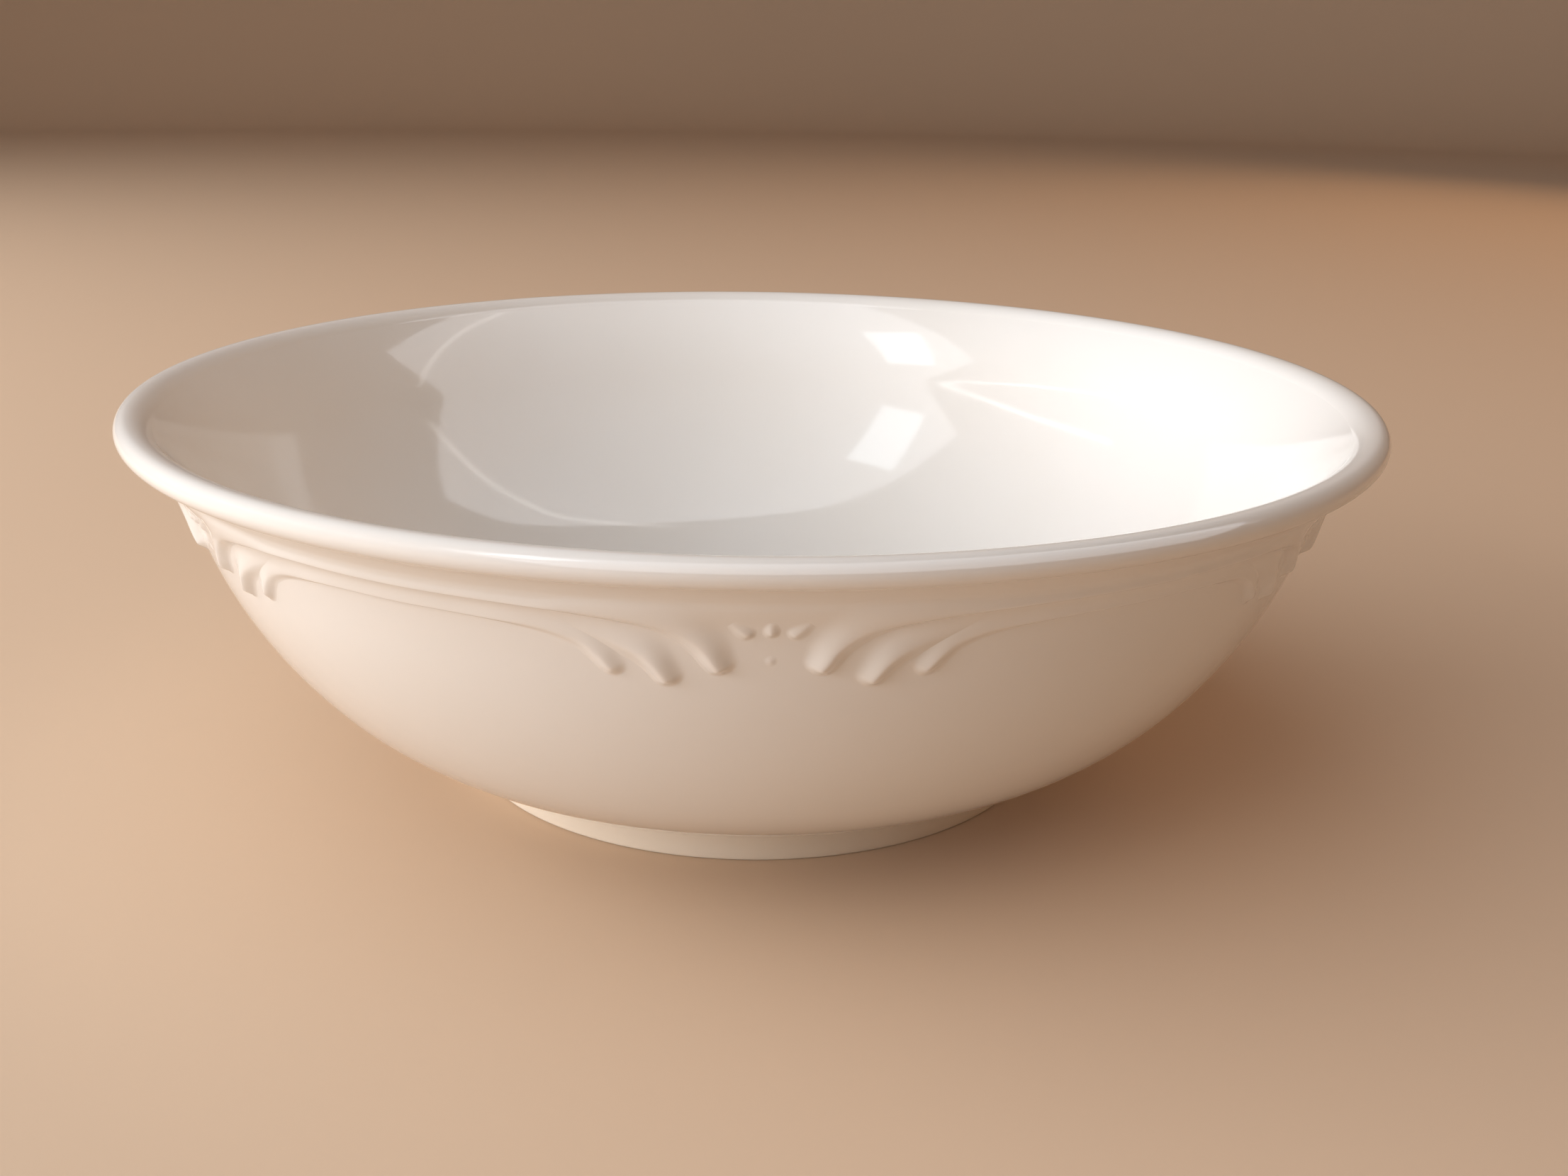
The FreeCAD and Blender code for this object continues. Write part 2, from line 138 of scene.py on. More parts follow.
MIDDLE_PETAL = [
    (0.0, 60.90, 0.8, 0.8, 0.02),
    (0.0, 60.40, 1.1, 1.0, 0.20),
    (0.0, 59.80, 1.4, 1.3, 0.44),
    (0.0, 59.40, 1.4, 1.3, 0.52),
]
BEAD_LEVEL = 54.5
BEAD_RADIUS = 1.0
BEAD_HEIGHT = 0.13
FRONT_MOTIF_ANGLE = -90.0

# Length of the rounded tips, how fast the relief falls from its crest, and how deep it goes into the wall
PLUME_TIP = 2.0
PETAL_TIP = 1.3
GENTLE_FALL = 2.6
STEEP_FALL = 1.9
TIP_FALL = 2.0
RELIEF_DEPTH = 0.5

# How finely the pieces are divided: point spacing along a section or a crest line, and columns across it
UNDERSIDE_STEP = 1.5
FILLET_STEP = 0.35
OUTER_STEP = 1.2
OUTER_FLARE_STEP = 0.25
INNER_STEP = 1.4
INNER_FLARE_STEP = 0.8
RIM_STEP = 0.2
FOOT_STEP = 0.8
FOOT_EDGE_STEP = 0.15
RECESS_FILLET_STEP = 0.25
FLOOR_STEP = 4.0
FLOOR_EDGE_STEP = 5.0
STATION_STEP = 0.35
GENTLE_COLUMNS = 14
STEEP_COLUMNS = 8
GENTLE_CROWDING = 1.4
STEEP_CROWDING = 1.2
TIP_ROWS = 12
TIP_TURN = 88.0


# Half sections ------------------------------------------------------------------------------------

def direction(degrees):
    """The unit vector at an angle from the outward radius."""
    return np.array([math.cos(math.radians(degrees)), math.sin(math.radians(degrees))])


def arc(centre, start, end, step):
    """Points on the shorter arc from start to end about centre, about step apart along the arc."""
    radius = np.linalg.norm(start - centre)
    first = math.atan2(*(start - centre)[::-1])
    last = math.atan2(*(end - centre)[::-1])
    turn = (last - first + math.pi) % (2 * math.pi) - math.pi
    count = max(2, round(abs(turn) * radius / step))
    angles = first + turn * np.linspace(0, 1, count + 1)
    return centre + radius * np.column_stack([np.cos(angles), np.sin(angles)])


def line(start, end, step):
    """Points on the straight run from start to end, about step apart."""
    count = max(1, round(np.linalg.norm(end - start) / step))
    return start + np.linspace(0, 1, count + 1)[:, None] * (end - start)


def chain(*runs):
    """Runs of points end to end, without the points where they meet twice."""
    return np.vstack([runs[0]] + [run[1:] for run in runs[1:]])


class WallCurve:
    """One face of the wall: lower arc, upper arc, straight run and flare, all tangent."""

    def __init__(self, centre, radius, upper_radius, upper_level, flare_radius, end):
        """The face of these radii, which ends at end. Its two arcs meet at upper_level."""
        sine = (upper_level - centre[1]) / radius
        self.lower_centre = centre
        self.lower_joint = centre + radius * np.array([math.sqrt(1 - sine ** 2), sine])
        self.upper_centre = self.lower_joint + (centre - self.lower_joint) * (upper_radius / radius)
        uphill = direction(WALL_SLOPE)
        outward = np.array([uphill[1], -uphill[0]])
        self.upper_joint = self.upper_centre + upper_radius * outward
        reach = end - self.upper_joint
        offset = reach @ outward
        run = reach @ uphill - math.sqrt(offset * (2 * flare_radius - offset))
        self.straight_end = self.upper_joint + run * uphill
        self.flare_centre = self.straight_end + flare_radius * outward
        self.end = end

    def points(self, start, step, flare_step):
        """The face's points from start on the lower arc up to its end."""
        return chain(
            arc(self.lower_centre, start, self.lower_joint, step),
            arc(self.upper_centre, self.lower_joint, self.upper_joint, step),
            line(self.upper_joint, self.straight_end, step),
            arc(self.flare_centre, self.straight_end, self.end, flare_step))


ROLL_CENTRE = np.array([RIM_RADIUS - ROLL_RADIUS, BOWL_HEIGHT - ROLL_RADIUS])
LIP_CENTRE = np.array([ROLL_CENTRE[0], BOWL_HEIGHT - LIP_RADIUS])
ROLL_START = ROLL_CENTRE - ROLL_RADIUS * direction(LIP_SLOPE)
LIP_END = LIP_CENTRE + LIP_RADIUS * direction(LIP_SLOPE + 90)
OUTER = WallCurve(LOWER_CURVE_CENTRE, LOWER_CURVE_RADIUS, UPPER_CURVE_RADIUS, UPPER_CURVE_LEVEL,
                  FLARE_RADIUS, ROLL_START)
INNER = WallCurve(np.array([FLOOR_RADIUS, FLOOR_LEVEL + INNER_LOWER_RADIUS]), INNER_LOWER_RADIUS,
                  INNER_UPPER_RADIUS, INNER_UPPER_LEVEL, INNER_FLARE_RADIUS, LIP_END)
FOOT_CORNER = np.array([FOOT_TOP_RADIUS, FOOT_HEIGHT])


def foot_fillet():
    """Centre of the fillet that leaves the foot's top corner, and its point on the wall's lower arc."""
    gap = LOWER_CURVE_CENTRE - FOOT_CORNER
    distance = np.linalg.norm(gap)
    reach = LOWER_CURVE_RADIUS + FOOT_FILLET_RADIUS
    along = (distance ** 2 + FOOT_FILLET_RADIUS ** 2 - reach ** 2) / (2 * distance)
    height = math.sqrt(FOOT_FILLET_RADIUS ** 2 - along ** 2)
    unit = gap / distance
    side = np.array([unit[1], -unit[0]])
    centre = FOOT_CORNER + along * unit + height * side
    touch = LOWER_CURVE_CENTRE + (centre - LOWER_CURVE_CENTRE) * (LOWER_CURVE_RADIUS / reach)
    return centre, touch


def smooth_step(start, full, value):
    """0 up to start, 1 from full on, and a smooth rise between them."""
    step = np.clip((value - start) / (full - start), 0, 1)
    return step * step * (3 - 2 * step)


def swelled(points):
    """The outer face's points moved out along the face's normal by the band's swell."""
    along = np.gradient(points, axis=0)
    along /= np.linalg.norm(along, axis=1)[:, None]
    outward = np.column_stack([along[:, 1], -along[:, 0]])
    levels = points[:, 1]
    swell = smooth_step(SWELL_START, SWELL_FULL, levels) * (1 - smooth_step(COVE_START, COVE_FULL, levels))
    return points + SWELL_HEIGHT * swell[:, None] * outward


FILLET_CENTRE, FILLET_END = foot_fillet()
OUTER_FACE = swelled(OUTER.points(FILLET_END, OUTER_STEP, OUTER_FLARE_STEP))


# Meshes -------------------------------------------------------------------------------------------

def make_piece(name, vertices, faces, sharp_edges, material, slot):
    """A smooth-shaded closed piece from vertices in millimetres. It replaces the CAD node of its name."""
    mesh = bpy.data.meshes.new(name)
    mesh.from_pydata((np.asarray(vertices) * METRES).tolist(), [], faces)
    mesh.validate()
    mesh.polygons.foreach_set("use_smooth", [True] * len(mesh.polygons))
    sharp = {tuple(sorted(edge)) for edge in sharp_edges}
    for edge in mesh.edges:
        edge.use_edge_sharp = tuple(sorted(edge.vertices)) in sharp
    mesh.materials.append(material)
    piece = bpy.data.objects.new("glazed_" + name, mesh)
    bpy.context.collection.objects.link(piece)
    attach(piece, "root")
    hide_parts(name)


def lathe(section, corners):
    """Vertices, faces and sharp edges of a half section turned about Z.

    The section runs anticlockwise, up the outside. Corners are the indexes of its sharp points. A section
    that starts and ends on the axis is open there, and any other is a loop.
    """
    closed = section[0][0] > 0
    rows = len(section)
    turns = np.linspace(0, 2 * math.pi, COLUMNS, endpoint=False)
    vertices = np.array([(radius * math.cos(turn), radius * math.sin(turn), level)
                         for radius, level in section for turn in turns])
    faces = []
    for row in range(rows if closed else rows - 1):
        above = (row + 1) % rows
        for column in range(COLUMNS):
            beside = (column + 1) % COLUMNS
            faces.append((row * COLUMNS + column, row * COLUMNS + beside,
                          above * COLUMNS + beside, above * COLUMNS + column))
    sharp = [(row * COLUMNS + column, row * COLUMNS + (column + 1) % COLUMNS)
             for row in corners for column in range(COLUMNS)]
    if closed:
        return vertices, faces, sharp
    return with_poles(vertices, faces, sharp, rows)


def with_poles(vertices, faces, sharp, rows):
    """The first and last rows of a turned disc, which lie on the axis, drawn in to one vertex each."""
    last = (rows - 1) * COLUMNS
    pole = {index: 0 for index in range(COLUMNS)}
    pole.update({last + index: last for index in range(COLUMNS)})
    drawn = []
    for face in faces:
        corners = list(dict.fromkeys(pole.get(corner, corner) for corner in face))
        drawn.append(tuple(corners))
    used = sorted({corner for face in drawn for corner in face})
    order = {old: new for new, old in enumerate(used)}
    faces = [tuple(order[corner] for corner in face) for face in drawn]
    return vertices[used], faces, [(order[start], order[end]) for start, end in sharp]


def wall_section():
    """The wall's loop: underside, foot fillet, outer face, the seam with the rim and the inner face."""
    underside = line(np.array([FLOOR_RADIUS, FOOT_HEIGHT]), FOOT_CORNER, UNDERSIDE_STEP)
    fillet = arc(FILLET_CENTRE, FOOT_CORNER, FILLET_END, FILLET_STEP)
    inner = INNER.points(np.array([FLOOR_RADIUS, FLOOR_LEVEL]), INNER_STEP, INNER_FLARE_STEP)[::-1]
    outside = chain(underside, fillet, OUTER_FACE)
    corners = [0, len(underside) - 1, len(outside) - 1, len(outside), len(outside) + len(inner) - 1]
    return np.vstack([outside, inner]), corners


def rim_section():
    """The rim's loop: the roll from its underside over the top, the lip and the seam with the wall."""
    top = np.array([ROLL_CENTRE[0], BOWL_HEIGHT])
    outside = chain(arc_over_roll(top), arc(LIP_CENTRE, top, LIP_END, RIM_STEP))
    return outside, [0, len(outside) - 1]


def arc_over_roll(top):
    """The roll's arc from its junction with the wall round the outside to the top."""
    outermost = ROLL_CENTRE + np.array([ROLL_RADIUS, 0])
    return chain(
        arc(ROLL_CENTRE, ROLL_START, outermost, RIM_STEP),
        arc(ROLL_CENTRE, outermost, top, RIM_STEP))


def rounded_corner(before, corner, after, radius, step):
    """The fillet arc of a corner between two straight runs."""
    back = (before - corner) / np.linalg.norm(before - corner)
    ahead = (after - corner) / np.linalg.norm(after - corner)
    half = math.acos(float(back @ ahead)) / 2
    reach = radius / math.tan(half)
    middle = (back + ahead) / np.linalg.norm(back + ahead)
    centre = corner + radius / math.sin(half) * middle
    return arc(centre, corner + reach * back, corner + reach * ahead, step)


def foot_section():
    """The foot ring's loop: standing face, outside, roof and the inside with its fillet under the floor."""
    inner_base = np.array([FOOT_INNER_RADIUS, 0])
    outer_base = np.array([FOOT_RADIUS, 0])
    inner_top = np.array([FOOT_INNER_TOP_RADIUS, FOOT_HEIGHT])
    recess = np.array([FLOOR_RADIUS, FOOT_HEIGHT])
    outer_edge = rounded_corner(inner_base, outer_base, FOOT_CORNER, FOOT_EDGE_RADIUS, FOOT_EDGE_STEP)
    inner_edge = rounded_corner(inner_top, inner_base, outer_base, FOOT_EDGE_RADIUS, FOOT_EDGE_STEP)
    fillet = rounded_corner(recess, inner_top, inner_base, RECESS_FILLET_RADIUS, RECESS_FILLET_STEP)
    standing_face = line(inner_edge[-1], outer_edge[0], FOOT_STEP)
    outside = chain(standing_face, outer_edge, line(outer_edge[-1], FOOT_CORNER, FOOT_STEP))
    roof = line(FOOT_CORNER, fillet[0], UNDERSIDE_STEP)
    inside = chain(fillet, line(fillet[-1], inner_edge[0], FOOT_STEP), inner_edge)
    section = chain(outside, roof, inside)[:-1]
    return section, [len(outside) - 1, len(outside) + len(roof) - 2]


def floor_section():
    """The floor's disc, from the middle of its underside to the middle of its top."""
    low_middle = np.array([0.0, FOOT_HEIGHT])
    low_edge = np.array([FLOOR_RADIUS, FOOT_HEIGHT])
    high_edge = np.array([FLOOR_RADIUS, FLOOR_LEVEL])
    high_middle = np.array([0.0, FLOOR_LEVEL])
    under = line(low_middle, low_edge, FLOOR_STEP)
    edge = line(low_edge, high_edge, FLOOR_EDGE_STEP)
    section = chain(under, edge, line(high_edge, high_middle, FLOOR_STEP))
    return section, [len(under) - 1, len(under)]


# Relief -------------------------------------------------------------------------------------------

def face_at(levels):
    """Distance from the axis, and the outward direction, of the wall's outer face at these levels."""
    along = np.gradient(OUTER_FACE, axis=0)
    along /= np.linalg.norm(along, axis=1)[:, None]
    radius = np.interp(levels, OUTER_FACE[:, 1], OUTER_FACE[:, 0])
    outward = np.stack([np.interp(levels, OUTER_FACE[:, 1], along[:, 1]),
                        np.interp(levels, OUTER_FACE[:, 1], -along[:, 0])], axis=-1)
    return radius, outward / np.linalg.norm(outward, axis=-1, keepdims=True)


def through(stations, step):
    """A smooth run through the stations (Catmull-Rom), with points about step apart."""
    points = np.array(stations, float)
    padded = np.vstack([2 * points[0] - points[1], points, 2 * points[-1] - points[-2]])
    run = []
    for before, start, end, after in zip(padded, padded[1:], padded[2:], padded[3:]):
        radius = face_at(start[1])[0]
        length = math.hypot(math.radians(end[0] - start[0]) * radius, end[1] - start[1])
        for part in np.linspace(0, 1, max(2, round(length / step)), endpoint=False):
            run.append(0.5 * (2 * start + (end - before) * part
                              + (2 * before - 5 * start + 4 * end - after) * part ** 2
                              + (3 * start - before - 3 * end + after) * part ** 3))
    return np.array(run + [points[-1]])


def with_tip(run, length):
    """A run that ends in a rounded tip of the given length, as rows of crest values and shrink factors."""
    degrees, level = run[-1, :2] - run[-2, :2]
    radius = face_at(run[-1, 1])[0]
    travel = math.hypot(math.radians(degrees) * radius, level)
    ahead = np.array([degrees, level, 0, 0, 0]) * length / travel
    turns = np.radians(np.linspace(0, TIP_TURN, TIP_ROWS)[1:])
    tip = run[-1] + np.sin(turns)[:, None] * ahead
    return np.vstack([run, tip]), np.concatenate([np.ones(len(run)), np.cos(turns)])


def falling(distance, fall):
    """Height of the relief, 1 at its crest and 0 at its border. A larger fall makes the crest narrower."""
    return (1 - distance) ** fall * (1 + fall * distance)


def swept_rows(run, shrink):
    """Rows of (degrees, level, height) across a crest line, from its steep side to its gentle side."""
    radius = face_at(run[:, 1])[0]
    rise = face_at(run[:, 1])[1][:, 0]
    travel = np.column_stack([np.gradient(np.radians(run[:, 0])) * radius, np.gradient(run[:, 1]) / rise])
    travel /= np.linalg.norm(travel, axis=1)[:, None]
    gentle = np.column_stack([travel[:, 1], -travel[:, 0]])
    steep_side = -np.linspace(1, 0, STEEP_COLUMNS + 1)[:-1] ** STEEP_CROWDING
    gentle_side = np.linspace(0, 1, GENTLE_COLUMNS + 1) ** GENTLE_CROWDING
    across = np.concatenate([steep_side, gentle_side])
    side_fall = np.where(across > 0, GENTLE_FALL, STEEP_FALL)
    smallest_reach = 1e-6
    rows = []
    for crest, factor, side, distance, slope in zip(run, shrink, gentle, radius, rise):
        width = np.where(across > 0, crest[2], crest[3]) * factor
        ahead = 1 - factor ** 2
        reach = np.sqrt(np.minimum(ahead + (across * factor) ** 2, 1))
        share = ahead / np.maximum(reach, smallest_reach) ** 2
        height = crest[4] * falling(reach, side_fall + (TIP_FALL - side_fall) * share)
        degrees = crest[0] + np.degrees(across * width * side[0] / distance)
        level = crest[1] + across * width * side[1] * slope
        rows.append(np.column_stack([degrees, level, height]))
    return np.array(rows)


def mirrored(rows):
    """The rows on the other side of the motif's axis, still facing outwards."""
    return np.flip(rows * np.array([-1, 1, 1]), axis=0)


def lifted(rows, angle, sink):
    """Points in space of (degrees, level, height) rows of the motif at an angle, sunk below the face."""
    radius, outward = face_at(rows[..., 1])
    height = rows[..., 2] - sink
    flat = radius + outward[..., 0] * height
    turn = np.radians(rows[..., 0] + angle)
    level = rows[..., 1] + outward[..., 1] * height
    return np.stack([flat * np.cos(turn), flat * np.sin(turn), level], axis=-1)


def closed_strip(rows, angle):
    """Vertices, faces and sharp edges of a closed strip: its top rows, and its underside inside the wall."""
    count, width = rows.shape[:2]
    top = lifted(rows, angle, 0.0).reshape(-1, 3)
    flat = rows * np.array([1, 1, 0])
    under = lifted(flat, angle, RELIEF_DEPTH).reshape(-1, 3)
    offset = len(top)
    faces = []
    for row in range(count - 1):
        for column in range(width - 1):
            here = row * width + column
            quad = (here, here + 1, here + width + 1, here + width)
            faces.append(quad)
            faces.append(tuple(corner + offset for corner in reversed(quad)))
    border = list(range(width))
    border += [row * width + width - 1 for row in range(1, count)]
    border += [(count - 1) * width + column for column in range(width - 2, -1, -1)]
    border += [row * width for row in range(count - 2, 0, -1)]
    sharp = []
    for here, ahead in zip(border, border[1:] + border[:1]):
        faces.append((ahead, here, here + offset, ahead + offset))
        sharp += [(here, ahead), (here + offset, ahead + offset)]
    return np.vstack([top, under]), faces, sharp


def make_relief(name, strips, material):
    """A relief piece: the given strips, repeated at every motif."""
    vertices = []
    faces = []
    sharp = []
    for motif in range(MOTIFS):
        angle = FRONT_MOTIF_ANGLE + MOTIF_SPACING * motif
        for rows in strips:
            points, quads, edges = closed_strip(rows, angle)
            offset = sum(len(group) for group in vertices)
            vertices.append(points)
            faces += [tuple(corner + offset for corner in quad) for quad in quads]
            sharp += [(start + offset, end + offset) for start, end in edges]
    make_piece(name, np.vstack(vertices), faces, sharp, material, "glazed_porcelain")


def crest(stations, tip):
    """Rows of a plume or petal, from where it fades out to its rounded tip."""
    return swept_rows(*with_tip(through(stations, STATION_STEP), tip))


def rib_and_plume(rib, plume):
    """Rows of a rib from the middle of its span to its end, and of the plume that carries it on."""
    run = through(rib + plume, STATION_STEP)
    rows = swept_rows(*with_tip(run, PLUME_TIP))
    split = int(np.argmin(np.abs(run[:, 0] - plume[0][0])))
    return rows[:split + 1], rows[split:]


def whole_span(half):
    """A rib's rows from one motif to the next: its half span and the mirror image of it."""
    other = mirrored(half) + np.array([MOTIF_SPACING, 0, 0])
    return np.vstack([other[:-1], half])


def bead_rows():
    """Rows of a small dome on the motif's axis."""
    start = [0, BEAD_LEVEL, BEAD_RADIUS, BEAD_RADIUS, BEAD_HEIGHT]
    turns = np.radians(np.linspace(-TIP_TURN, TIP_TURN, 2 * TIP_ROWS + 1))
    run = np.array(start) - np.sin(turns)[:, None] * np.array([0, BEAD_RADIUS, 0, 0, 0])
    return swept_rows(run, np.cos(turns))


# Materials ----------------------------------------------------------------------------------------

GLAZE = (0.835, 0.808, 0.770, 1)
GLAZE_WARM = (0.805, 0.765, 0.705, 1)
# The foot's two glaze tones are painted creamier than the bowl's: a painted warm bounce of light on the foot
FOOT_GLAZE_PAINTED_BOUNCE = (0.86, 0.775, 0.655, 1)
FOOT_GLAZE_WARM_PAINTED_BOUNCE = (0.83, 0.735, 0.59, 1)
BARE_CLAY = (0.74, 0.69, 0.60, 1)
SPECK = (0.23, 0.15, 0.10, 1)
GLAZE_ROUGHNESS = 0.07
BARE_ROUGHNESS = 0.62
GLAZE_IOR = 1.52

# Places of the Mix node's sockets, which have the same names for colours as for vectors
VECTOR_FIRST = 4
VECTOR_SECOND = 5
VECTOR_RESULT = 1
COLOUR_FIRST = 6
COLOUR_SECOND = 7
COLOUR_RESULT = 2


class Shader:
    """A material's node tree, with short ways to add and join nodes. Lengths in materials are metres."""

    def __init__(self, name):
        self.material = bpy.data.materials.new(name)
        self.material.use_nodes = True
        self.tree = self.material.node_tree
        self.surface = self.tree.nodes["Principled BSDF"]
        self.place = self.node("ShaderNodeTexCoord").outputs["Object"]

    def node(self, kind, **settings):
        """A new node of this kind, with these properties set."""
        made = self.tree.nodes.new(kind)
        for key, setting in settings.items():
            setattr(made, key, setting)
        return made

    def join(self, source, target):
        """Target socket set to a constant source, or linked to a source socket."""
        if isinstance(source, (int, float, tuple)):
            target.default_value = source
        else:
            self.tree.links.new(source, target)

    def noise(self, scale, detail, roughness=0.5, squeeze=(1, 1, 1)):
        """Noise over the piece, squeezed together by these factors along X, Y and Z."""
        mapping = self.node("ShaderNodeMapping")
        self.join(self.place, mapping.inputs["Vector"])
        mapping.inputs["Scale"].default_value = squeeze
        made = self.node("ShaderNodeTexNoise")
        self.join(mapping.outputs["Vector"], made.inputs["Vector"])
        made.inputs["Scale"].default_value = scale
        made.inputs["Detail"].default_value = detail
        made.inputs["Roughness"].default_value = roughness
        return made.outputs["Fac"]

    def ramp(self, source, low, high, to_high=1.0):
        """Source carried smoothly from the range low-high to the range 0-to_high."""
        made = self.node("ShaderNodeMapRange", interpolation_type="SMOOTHSTEP")
        self.join(source, made.inputs["Value"])
        for name, number in (("From Min", low), ("From Max", high), ("To Min", 0.0), ("To Max", to_high)):
            made.inputs[name].default_value = number
        return made.outputs["Result"]

    def calculate(self, operation, first, second):
        """The result of a Math node's operation on two values."""
        made = self.node("ShaderNodeMath", operation=operation)
        self.join(first, made.inputs[0])
        self.join(second, made.inputs[1])
        return made.outputs["Value"]

    def mix_colours(self, factor, first, second):
        """The first colour where factor is 0, and the second where it is 1."""
        made = self.node("ShaderNodeMix", data_type="RGBA")
        self.join(factor, made.inputs["Factor"])
        self.join(first, made.inputs[COLOUR_FIRST])
        self.join(second, made.inputs[COLOUR_SECOND])
        return made.outputs[COLOUR_RESULT]

    def mix_normals(self, factor, first, second):
        """The first normal where factor is 0, and the second where it is 1."""
        made = self.node("ShaderNodeMix", data_type="VECTOR")
        self.join(factor, made.inputs["Factor"])
        self.join(first, made.inputs[VECTOR_FIRST])
        self.join(second, made.inputs[VECTOR_SECOND])
        return made.outputs[VECTOR_RESULT]

    def red(self, colour):
        """The red part of a colour."""
        made = self.node("ShaderNodeSeparateColor")
        self.join(colour, made.inputs["Color"])
        return made.outputs["Red"]

    def bump(self, height, distance, normal=None):
        """The normal of a surface raised by height times distance, over another normal if one is given."""
        made = self.node("ShaderNodeBump")
        self.join(height, made.inputs["Height"])
        made.inputs["Distance"].default_value = distance
        made.inputs["Strength"].default_value = 1.0
        if normal is not None:
            self.join(normal, made.inputs["Normal"])
        return made.outputs["Normal"]

    def finish(self, colour, roughness, normal):
        """Join these to the surface, and give back the material."""
        self.join(colour, self.surface.inputs["Base Color"])
        self.join(roughness, self.surface.inputs["Roughness"])
        self.join(normal, self.surface.inputs["Normal"])
        self.surface.inputs["IOR"].default_value = GLAZE_IOR
        return self.material


def specks(shader, scale, size, share):
    """Small round marks: a share of the cells of a Voronoi pattern has one. Each fades out at its border."""
    full_mark = 0.55
    cells = shader.node("ShaderNodeTexVoronoi")
    shader.join(shader.place, cells.inputs["Vector"])
    cells.inputs["Scale"].default_value = scale
    chosen = shader.calculate("LESS_THAN", shader.red(cells.outputs["Color"]), share)
    dot = shader.ramp(cells.outputs["Distance"], low=size, high=full_mark * size)
    return shader.calculate("MULTIPLY", chosen, dot)


def glaze(shader, light, dark):
    """The warm white gloss of the whole bowl: its colour, roughness and very slight unevenness."""
    tone = shader.ramp(shader.noise(scale=16, detail=3), low=0.35, high=0.75, to_high=0.5)
    marks = specks(shader, scale=95, size=0.018, share=0.035)
    haze_noise = shader.noise(scale=70, detail=5, roughness=0.7)
    scuff_noise = shader.noise(scale=45, detail=6, roughness=0.75, squeeze=(1, 14, 3))
    haze = shader.ramp(haze_noise, low=0.45, high=0.8, to_high=0.045)
    scuffs = shader.ramp(scuff_noise, low=0.64, high=0.72, to_high=0.07)
    colour = shader.mix_colours(marks, shader.mix_colours(tone, light, dark), SPECK)
    roughness = shader.calculate("ADD", shader.calculate("ADD", haze, scuffs), GLAZE_ROUGHNESS)
    waves = shader.bump(shader.noise(scale=34, detail=1), distance=0.00009)
    skin = shader.bump(shader.noise(scale=420, detail=2), distance=0.000004, normal=waves)
    return colour, roughness, skin


def make_glaze_material():
    """The glaze of the floor, wall, rim and relief."""
    shader = Shader("glazed_porcelain")
    return shader.finish(*glaze(shader, GLAZE, GLAZE_WARM))


def make_foot_material():
    """Glaze painted creamier than the bowl's, as a painted warm bounce of light. It ends in bare, matte
    porcelain on the face that the bowl stands on.
    """
    raggedness = 0.00025
    glazed_above = 0.00012
    bare_below = 0.00002
    shader = Shader("foot_porcelain")
    colour, roughness, normal = glaze(shader, FOOT_GLAZE_PAINTED_BOUNCE, FOOT_GLAZE_WARM_PAINTED_BOUNCE)
    parts = shader.node("ShaderNodeSeparateXYZ")
    shader.join(shader.place, parts.inputs["Vector"])
    ragged = shader.calculate("MULTIPLY", shader.noise(scale=900, detail=3), raggedness)
    height = shader.calculate("SUBTRACT", parts.outputs["Z"], ragged)
    bare = shader.ramp(height, low=glazed_above, high=bare_below)
    grain = shader.noise(scale=2600, detail=4, roughness=0.7)
    clay = shader.mix_colours(shader.ramp(grain, low=0.3, high=0.7, to_high=0.4), BARE_CLAY, GLAZE_WARM)
    matte = shader.calculate("ADD", shader.calculate("MULTIPLY", bare, BARE_ROUGHNESS), roughness)
    grainy = shader.bump(grain, distance=0.00003, normal=normal)
    surface_colour = shader.mix_colours(bare, colour, clay)
    surface_normal = shader.mix_normals(bare, normal, grainy)
    return shader.finish(surface_colour, matte, surface_normal)


# Stage. Lengths here are metres -------------------------------------------------------------------

FLOOR_COLOUR = (0.63, 0.46, 0.32, 1)
FLOOR_ROUGHNESS = 0.85
WORLD_COLOUR = (0.75, 0.50, 0.34, 1)
WORLD_STRENGTH = 0.045
SENSOR_WIDTH_MM = 36.0
LENS_MM = 38.73
CAMERA_AZIMUTH = -2.3
CAMERA_PLACE = (0.00577, -0.31478, 0.13567)
CAMERA_TILT = 71.57
CAMERA_ROLL = 0.932


def make_floor():
    """A plain pale floor that curves up into a backdrop all round, far from the bowl."""
    bend_start = 2.0
    bend_radius = 0.4
    backdrop_top = 2.2
    columns = 96
    bend_rows = 25
    profile = []
    for turn in np.radians(np.linspace(0, 90, bend_rows)):
        profile.append((bend_start + bend_radius * math.sin(turn), bend_radius * (1 - math.cos(turn))))
    profile.append((bend_start + bend_radius, backdrop_top))
    turns = np.linspace(0, 2 * math.pi, columns, endpoint=False)
    vertices = [(radius * math.cos(turn), radius * math.sin(turn), level)
                for radius, level in profile for turn in turns]
    faces = [tuple(range(columns))]
    for row in range(len(profile) - 1):
        for column in range(columns):
            beside = (column + 1) % columns
            faces.append((row * columns + column, (row + 1) * columns + column,
                          (row + 1) * columns + beside, row * columns + beside))
    mesh = bpy.data.meshes.new("stage_floor")
    mesh.from_pydata(vertices, [], faces)
    mesh.polygons.foreach_set("use_smooth", [True] * len(faces))
    material = bpy.data.materials.new("stage_paper")
    material.use_nodes = True
    surface = material.node_tree.nodes["Principled BSDF"]
    surface.inputs["Base Color"].default_value = FLOOR_COLOUR
    surface.inputs["Roughness"].default_value = FLOOR_ROUGHNESS
    mesh.materials.append(material)
    floor = bpy.data.objects.new("stage_floor", mesh)
    bpy.context.collection.objects.link(floor)


def rotation(degrees, axis):
    """The matrix of a turn about an axis."""
    return Matrix.Rotation(math.radians(degrees), 4, axis)


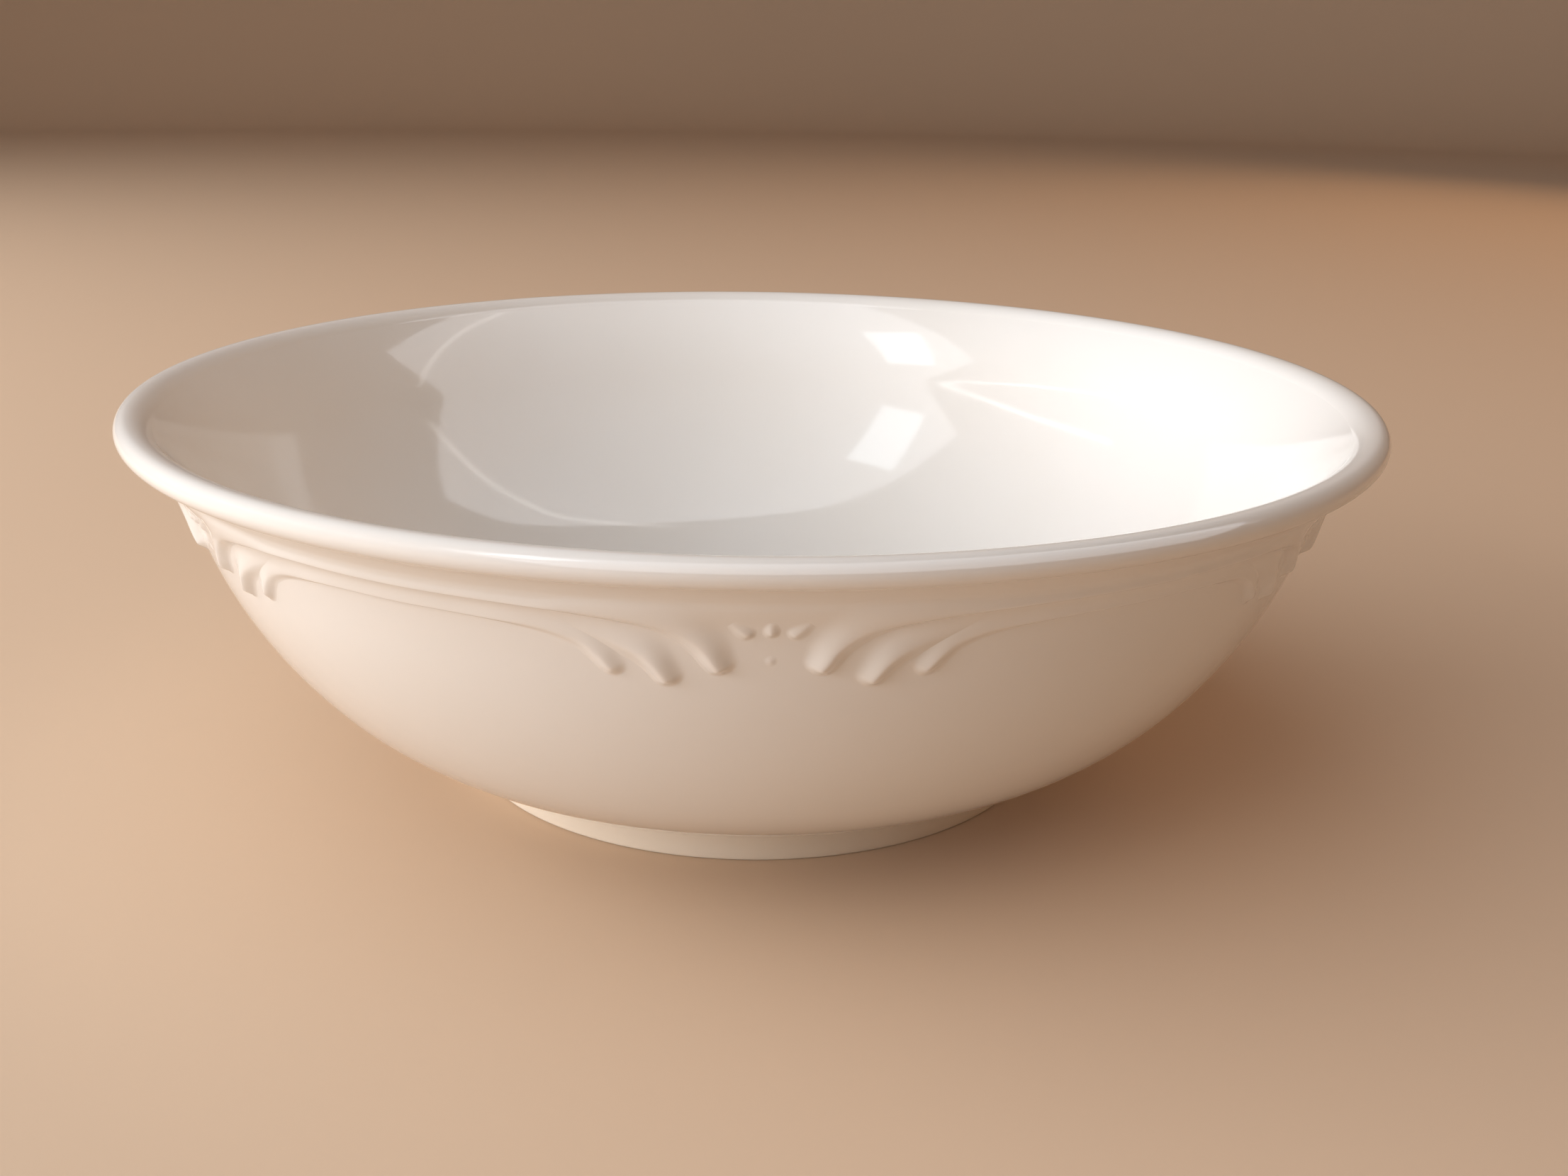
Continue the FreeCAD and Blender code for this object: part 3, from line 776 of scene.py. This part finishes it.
def make_light(name, azimuth, elevation, distance, size, power, colour, card=False):
    """A soft rectangular light that looks at the bowl. Azimuth is in degrees from +X.

    A card is seen only as a reflection in the glaze, and any other light only by what it lights.
    """
    lamp = bpy.data.lights.new(name, "AREA")
    lamp.shape = "RECTANGLE"
    lamp.size, lamp.size_y = size
    lamp.energy = power
    lamp.color = colour
    light = bpy.data.objects.new(name, lamp)
    turn = rotation(azimuth + 90, "Z") @ rotation(90 - elevation, "X")
    light.matrix_world = turn @ Matrix.Translation((0, 0, distance))
    light.visible_glossy = card
    light.visible_diffuse = not card
    bpy.context.collection.objects.link(light)


def make_lights():
    """Three soft lights, and four cards that the glaze mirrors."""
    make_light("window", azimuth=191, elevation=22, distance=1.15, size=(2.0, 0.62), power=20.8,
               colour=(0.97, 0.98, 1.0))
    make_light("ceiling", azimuth=205, elevation=72, distance=1.3, size=(1.6, 1.6), power=9.0,
               colour=(0.93, 0.955, 1.0))
    make_light("wall", azimuth=35, elevation=28, distance=1.3, size=(1.6, 0.9), power=4.2,
               colour=(1.0, 0.60, 0.30))
    make_light("pane", azimuth=225, elevation=47, distance=1.3, size=(0.24, 0.44), power=1.3,
               colour=(0.80, 0.92, 1.0), card=True)
    make_light("sill", azimuth=201, elevation=29, distance=1.3, size=(1.7, 0.02), power=0.6,
               colour=(0.95, 0.98, 1.0), card=True)
    make_light("doorway", azimuth=3, elevation=52, distance=1.3, size=(0.03, 1.3), power=0.3,
               colour=(1.0, 0.97, 0.92), card=True)
    make_light("room", azimuth=292, elevation=50, distance=1.2, size=(3.6, 1.6), power=42,
               colour=(0.91, 0.95, 1.0), card=True)


def make_world():
    """A faint warm light from all round."""
    world = bpy.data.worlds.new("studio")
    world.use_nodes = True
    background = world.node_tree.nodes["Background"]
    background.inputs["Color"].default_value = WORLD_COLOUR
    background.inputs["Strength"].default_value = WORLD_STRENGTH
    bpy.context.scene.world = world


def make_camera():
    """The camera, a little left of the front, looking down at the bowl."""
    camera_data = bpy.data.cameras.new("camera")
    camera_data.sensor_width = SENSOR_WIDTH_MM
    camera_data.lens = LENS_MM
    camera = bpy.data.objects.new("camera", camera_data)
    camera.matrix_world = (rotation(CAMERA_AZIMUTH, "Z") @ Matrix.Translation(CAMERA_PLACE)
                           @ rotation(CAMERA_TILT, "X") @ rotation(CAMERA_ROLL, "Z"))
    bpy.context.collection.objects.link(camera)
    bpy.context.scene.camera = camera


# Build --------------------------------------------------------------------------------------------

glaze_material = make_glaze_material()
foot_material = make_foot_material()
for name, section, corners, material, slot in (
        ("bowl_floor", *floor_section(), glaze_material, "glazed_porcelain"),
        ("bowl_wall", *wall_section(), glaze_material, "glazed_porcelain"),
        ("rolled_rim", *rim_section(), glaze_material, "glazed_porcelain"),
        ("foot_ring", *foot_section(), foot_material, "foot_porcelain")):
    make_piece(name, *lathe(section, corners), material, slot)

upper_half, inner_rows = rib_and_plume(UPPER_RIB, INNER_PLUME)
lower_half, outer_rows = rib_and_plume(LOWER_RIB, OUTER_PLUME)
middle_rows = crest(MIDDLE_PLUME, PLUME_TIP)
side_rows = crest(SIDE_PETAL, PETAL_TIP)
make_relief("upper_rib", [whole_span(upper_half)], glaze_material)
make_relief("lower_rib", [whole_span(lower_half)], glaze_material)
make_relief("inner_plumes", [inner_rows, mirrored(inner_rows)], glaze_material)
make_relief("middle_plumes", [middle_rows, mirrored(middle_rows)], glaze_material)
make_relief("outer_plumes", [outer_rows, mirrored(outer_rows)], glaze_material)
make_relief("crest_petals", [side_rows, crest(MIDDLE_PETAL, PETAL_TIP), mirrored(side_rows)], glaze_material)
make_relief("crest_beads", [bead_rows()], glaze_material)

make_floor()
make_lights()
make_world()
bpy.context.scene.view_settings.view_transform = "Standard"
make_camera()
